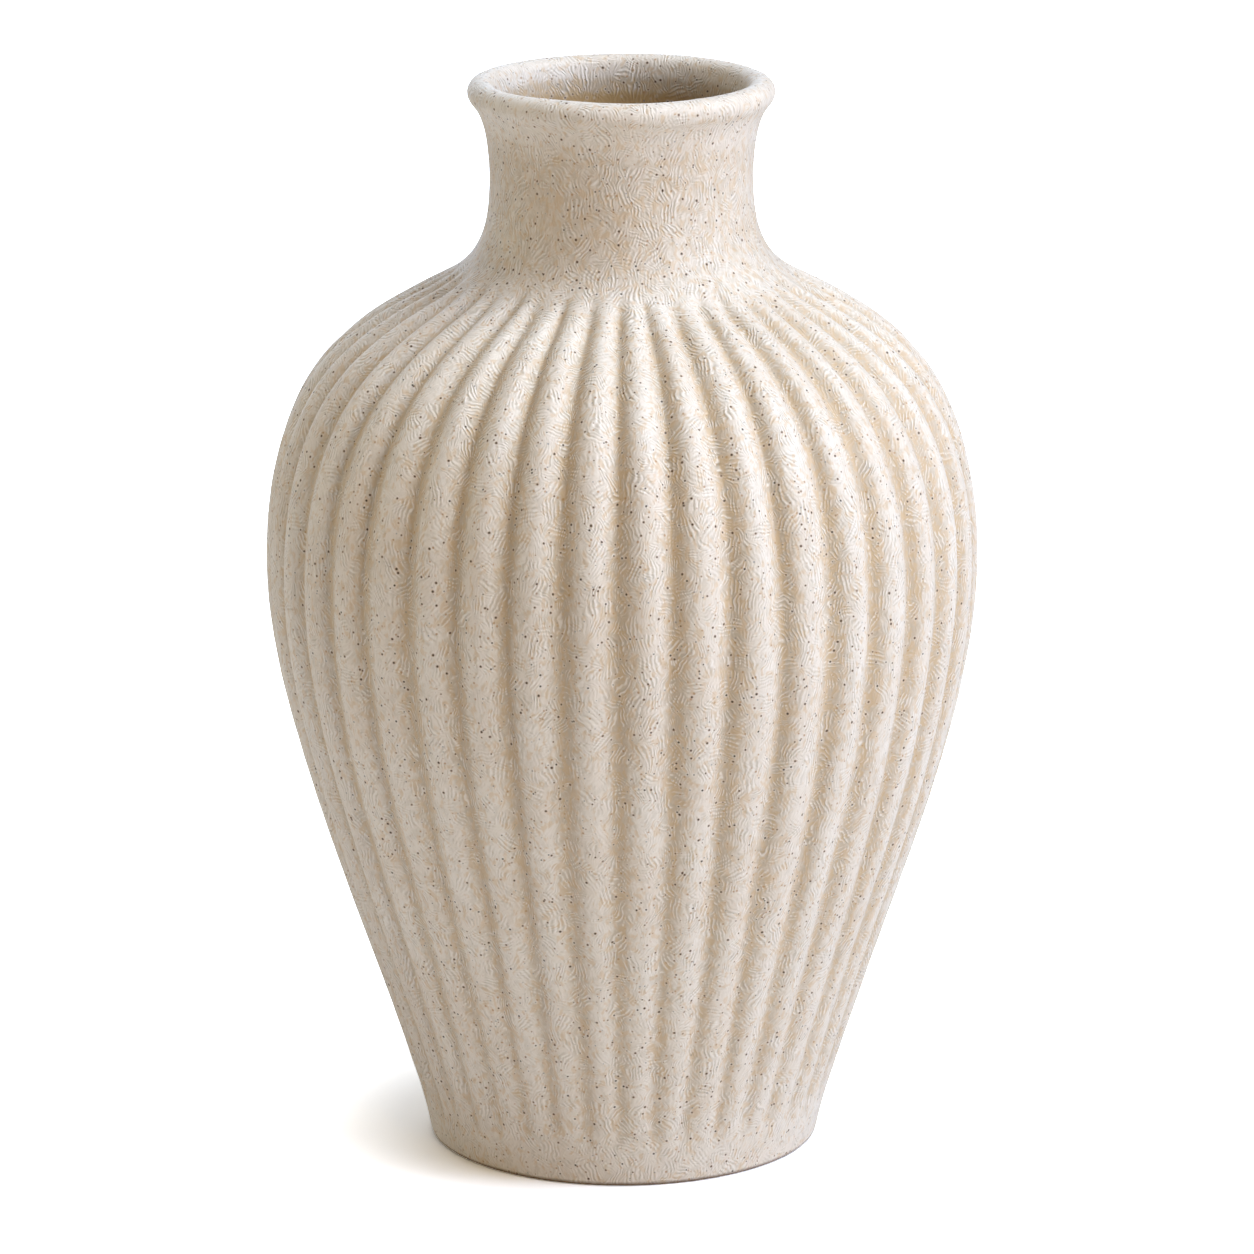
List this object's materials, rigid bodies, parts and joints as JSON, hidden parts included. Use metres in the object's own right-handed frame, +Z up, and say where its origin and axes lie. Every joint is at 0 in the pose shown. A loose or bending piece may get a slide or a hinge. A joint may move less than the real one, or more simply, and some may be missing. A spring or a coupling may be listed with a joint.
{
  "type": "vase",
  "caption": "Ribbed stoneware vase with a rolled lip, a waisted plain neck, a wide shoulder and a body that tapers to a narrow foot ring.",
  "frame": {"origin": "under the middle of the foot ring, on the plane the vase stands on", "axes": "+Z up along the vase's axis, towards the lip; X and Y are alike, because the vase is round"},
  "size_m": [0.1968, 0.1968, 0.3],
  "materials": {
    "stoneware": "satin-matte cream glaze with iron specks and a fine brushed relief",
    "stoneware_foot": "unglazed fired clay, matte",
    "liner": "clear gloss liner glaze"
  },
  "bodies": {
    "root": {"foot_ring": "stoneware", "base_slab": "stoneware_foot", "floor_seam_coil": "stoneware_foot", "lower_wall": "stoneware", "shoulder_wall": "stoneware", "neck_collar": "stoneware", "lip_coil": "stoneware", "liner_glaze": "liner"}
  },
  "joints": []
}
